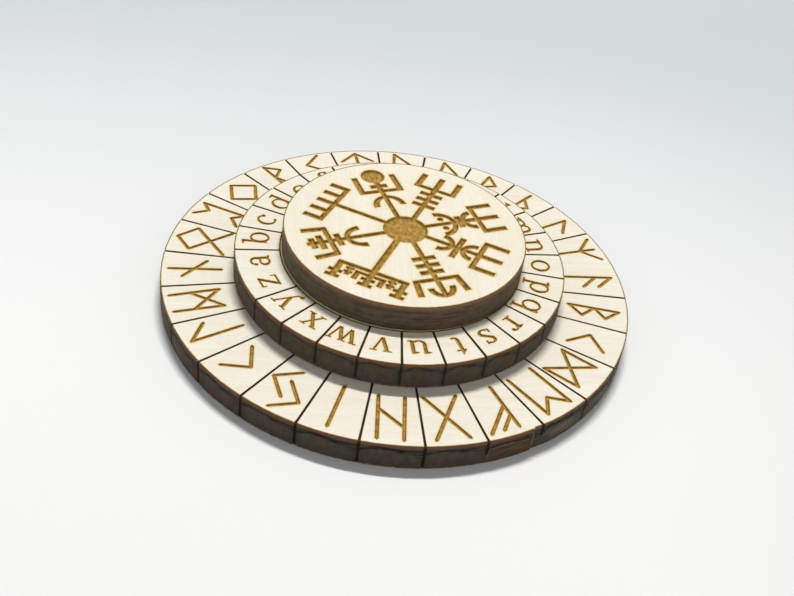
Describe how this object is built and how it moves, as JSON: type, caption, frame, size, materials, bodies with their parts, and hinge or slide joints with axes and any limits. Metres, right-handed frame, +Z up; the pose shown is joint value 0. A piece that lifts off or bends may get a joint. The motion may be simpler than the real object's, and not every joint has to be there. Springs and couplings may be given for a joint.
{
  "type": "cipher wheel",
  "caption": "Wooden cipher wheel: a disc of runes, a smaller turning disc of letters and a small top disc with a stave, stacked on a hidden pivot.",
  "frame": {"origin": "centre of the underside, on the pivot's axis", "axes": "+Z up along the pivot's axis, +X along the line between the first two places of the outer ring"},
  "size_m": [0.1, 0.1, 0.0177],
  "materials": {
    "birch_face": "sanded birch, laser engraved",
    "birch_core": "birch, edges burnt by the laser",
    "brass": "turned brass",
    "steel": "zinc-plated steel",
    "fibre": "vulcanised fibre"
  },
  "bodies": {
    "outer_disc": {"outer_back_veneer": "birch_face", "outer_lower_cross_ply": "birch_core", "outer_core_ply": "birch_core", "outer_upper_cross_ply": "birch_core", "outer_face_veneer": "birch_face", "flange_washer": "steel", "spacer_washer": "fibre"},
    "inner_discs": {"middle_back_veneer": "birch_face", "middle_lower_cross_ply": "birch_core", "middle_core_ply": "birch_core", "middle_upper_cross_ply": "birch_core", "middle_face_veneer": "birch_face", "top_back_veneer": "birch_face", "top_lower_cross_ply": "birch_core", "top_core_ply": "birch_core", "top_upper_cross_ply": "birch_core", "top_face_veneer": "birch_face", "binding_post": "brass", "post_screw": "brass", "head_washer": "steel"}
  },
  "joints": [
    {"name": "ring_turn", "type": "hinge", "parent": "outer_disc", "child": "inner_discs", "pos_m": [0, 0, 0.006], "axis": [0, 0, 1], "continuous": true}
  ]
}
